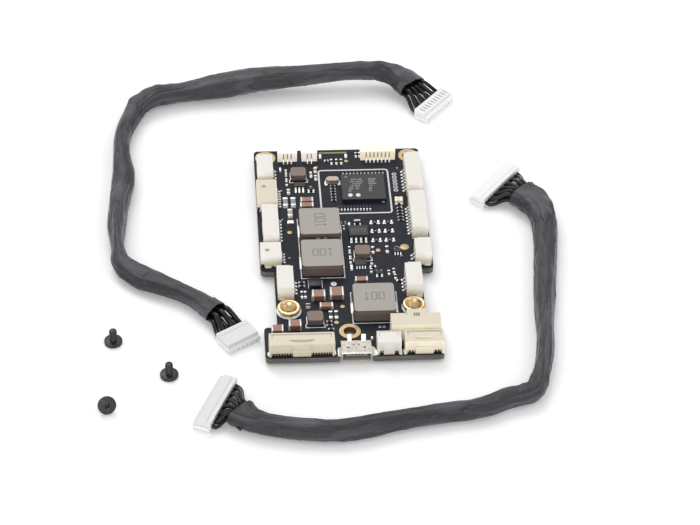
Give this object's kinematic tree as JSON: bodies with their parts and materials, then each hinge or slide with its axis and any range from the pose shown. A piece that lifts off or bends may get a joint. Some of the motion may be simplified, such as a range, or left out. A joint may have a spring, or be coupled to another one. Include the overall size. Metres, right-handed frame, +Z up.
{
  "type": "electronic speed controller",
  "caption": "Flat motor controller board with side-entry plug headers, driver chips, power inductors and a micro socket, with loose sleeved cables and screws beside it.",
  "frame": {"origin": "on the table under the board's centre, at the underside of the middle driver chip", "axes": "+X to the board's right, +Y along the board towards the small far headers, +Z up out of the board's component side"},
  "size_m": [0.1153, 0.1408, 0.0089],
  "materials": {
    "solder_mask": "near-black satin solder mask",
    "header_white": "white moulded nylon",
    "header_cream": "cream moulded nylon",
    "chip": "black epoxy package",
    "inductor": "moulded ferrite powder, brown-grey",
    "capacitor": "fired ceramic with tinned ends",
    "brass": "plain brass",
    "shell_steel": "tinned steel sheet",
    "crystal_lid": "metal lid with a warm tint",
    "led_resin": "cream resin",
    "tongue": "black moulded plastic",
    "sleeve": "charcoal braided sleeve",
    "screw_black": "blackened steel"
  },
  "bodies": {
    "board": {"circuit_board": "solder_mask", "header_left_1": "header_white", "header_left_3": "header_white", "header_left_4": "header_white", "header_left_5": "header_white", "header_right_1": "header_white", "header_right_2": "header_white", "header_right_3": "header_white", "header_right_4": "header_white", "header_front_2": "header_white", "header_far_1": "header_white", "header_far_2": "header_white", "header_left_2": "header_cream", "header_far_3": "header_cream", "header_front_1": "header_cream", "header_front_3": "header_cream", "header_rear": "header_cream", "processor": "chip", "bus_transceiver": "chip", "gate_chip": "chip", "driver_chip_centre": "chip", "driver_chip_left": "chip", "driver_chip_right": "chip", "power_switch_left": "chip", "power_switch_right": "chip", "power_inductor_1": "inductor", "power_inductor_2": "inductor", "power_inductor_3": "inductor", "small_inductor_1": "inductor", "small_inductor_2": "inductor", "small_inductor_3": "inductor", "capacitor_1": "capacitor", "capacitor_2": "capacitor", "capacitor_3": "capacitor", "capacitor_4": "capacitor", "capacitor_5": "capacitor", "capacitor_6": "capacitor", "capacitor_7": "capacitor", "capacitor_8": "capacitor", "brass_insert_left": "brass", "brass_insert_right": "brass", "usb_shell": "shell_steel", "usb_tongue": "tongue", "resonator": "crystal_lid", "status_led": "led_resin"},
    "cable_a": {"cable_sleeve_a": "sleeve", "plug_a1": "header_white", "plug_a2": "header_white"},
    "cable_b": {"cable_sleeve_b": "sleeve", "plug_b1": "header_white", "plug_b2": "header_white"},
    "screw_1": {"screw_1": "screw_black"},
    "screw_2": {"screw_2": "screw_black"},
    "screw_3": {"screw_3": "screw_black"}
  },
  "joints": [
    {"name": "lift_cable_a", "type": "slide", "parent": "board", "child": "cable_a", "axis": [0, 0, 1], "range_m": [0, 0.06]},
    {"name": "lift_cable_b", "type": "slide", "parent": "board", "child": "cable_b", "axis": [0, 0, 1], "range_m": [0, 0.06]},
    {"name": "lift_screw_1", "type": "slide", "parent": "board", "child": "screw_1", "axis": [0, 0, 1], "range_m": [0, 0.03]},
    {"name": "lift_screw_2", "type": "slide", "parent": "board", "child": "screw_2", "axis": [0, 0, 1], "range_m": [0, 0.03]},
    {"name": "lift_screw_3", "type": "slide", "parent": "board", "child": "screw_3", "axis": [0, 0, 1], "range_m": [0, 0.03]}
  ]
}
